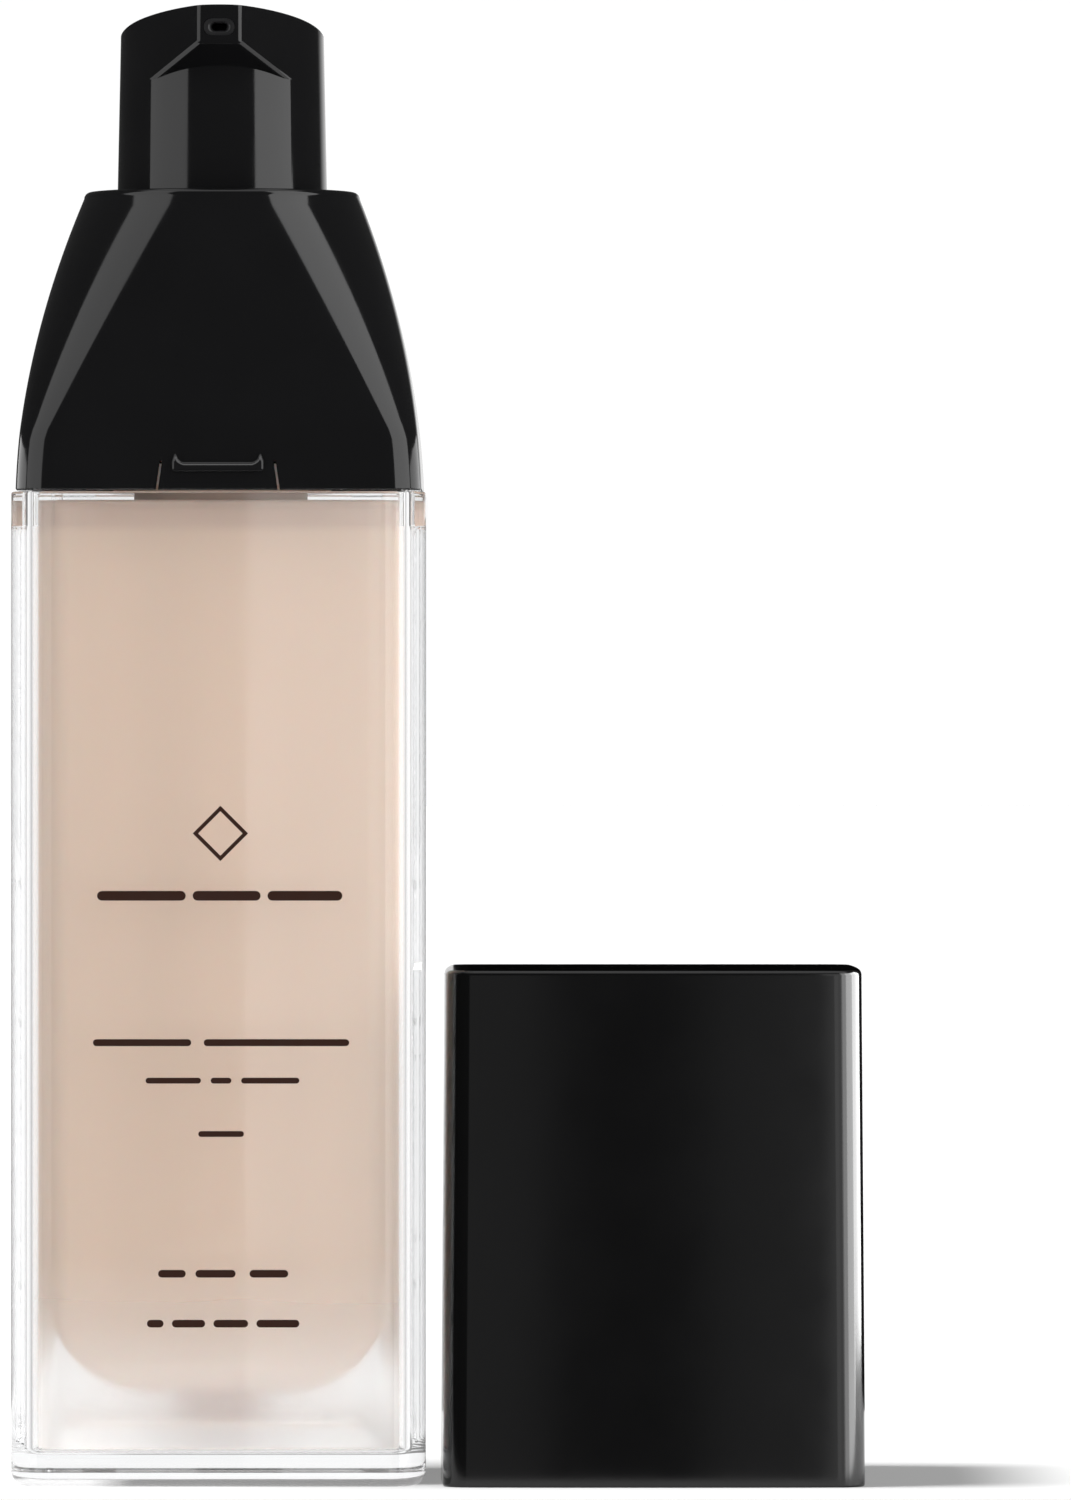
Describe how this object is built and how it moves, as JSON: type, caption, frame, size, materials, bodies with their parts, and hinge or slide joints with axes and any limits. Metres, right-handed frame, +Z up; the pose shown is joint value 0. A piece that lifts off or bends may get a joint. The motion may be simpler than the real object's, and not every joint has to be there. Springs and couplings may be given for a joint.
{
  "type": "foundation bottle",
  "caption": "Square clear pump bottle for liquid foundation, with a tapered collar, a turning press-down head and a separate square overcap standing beside it.",
  "frame": {"origin": "centre of the bottle's base, on the surface that it stands on", "axes": "+Z up the bottle, -Y the front, where the spout points, +X towards the overcap standing beside it"},
  "size_m": [0.062, 0.031, 0.1073],
  "materials": {
    "clear_shell": "clear polished acrylic",
    "clear_inner": "clear polished plastic",
    "foundation": "opaque creamy liquid",
    "black_gloss": "high gloss black",
    "cap_black_gloss": "high gloss black",
    "black_satin": "satin moulded",
    "natural_plastic": "natural milky moulding",
    "gasket": "soft matte",
    "steel": "bright drawn steel"
  },
  "bodies": {
    "bottle": {"outer_shell": "clear_shell", "inner_bottle": "clear_inner", "foundation_fill": "foundation", "collar_cover": "black_gloss", "pump_closure": "natural_plastic", "neck_gasket": "gasket", "pump_housing": "natural_plastic", "stem_guide": "natural_plastic", "stem_seal": "gasket", "dip_tube": "natural_plastic", "ball_cage": "natural_plastic", "return_spring": "steel"},
    "plunger": {"pump_stem": "natural_plastic"},
    "head": {"actuator": "black_gloss", "actuator_core": "black_satin", "nozzle_insert": "black_satin"},
    "piston": {"pump_piston": "natural_plastic"},
    "inlet_ball": {"inlet_ball": "steel"},
    "overcap": {"overcap": "cap_black_gloss"}
  },
  "joints": [
    {"name": "head_press", "type": "slide", "parent": "bottle", "child": "plunger", "axis": [0, 0, -1], "range_m": [0, 0.004], "stiffness_N_per_m": 2000, "springref_m": -0.003, "deforming": ["return_spring"]},
    {"name": "head_turn", "type": "hinge", "parent": "plunger", "child": "head", "pos_m": [0, 0, 0.0937], "axis": [0, 0, 1], "continuous": true},
    {"name": "piston_shift", "type": "slide", "parent": "plunger", "child": "piston", "axis": [0, 0, 1], "range_m": [0, 0.0008]},
    {"name": "ball_lift", "type": "slide", "parent": "bottle", "child": "inlet_ball", "axis": [0, 0, 1], "range_m": [0, 0.0008]},
    {"name": "overcap_lift", "type": "slide", "parent": "bottle", "child": "overcap", "axis": [0, 0, 1], "range_m": [0, 0.09]}
  ]
}
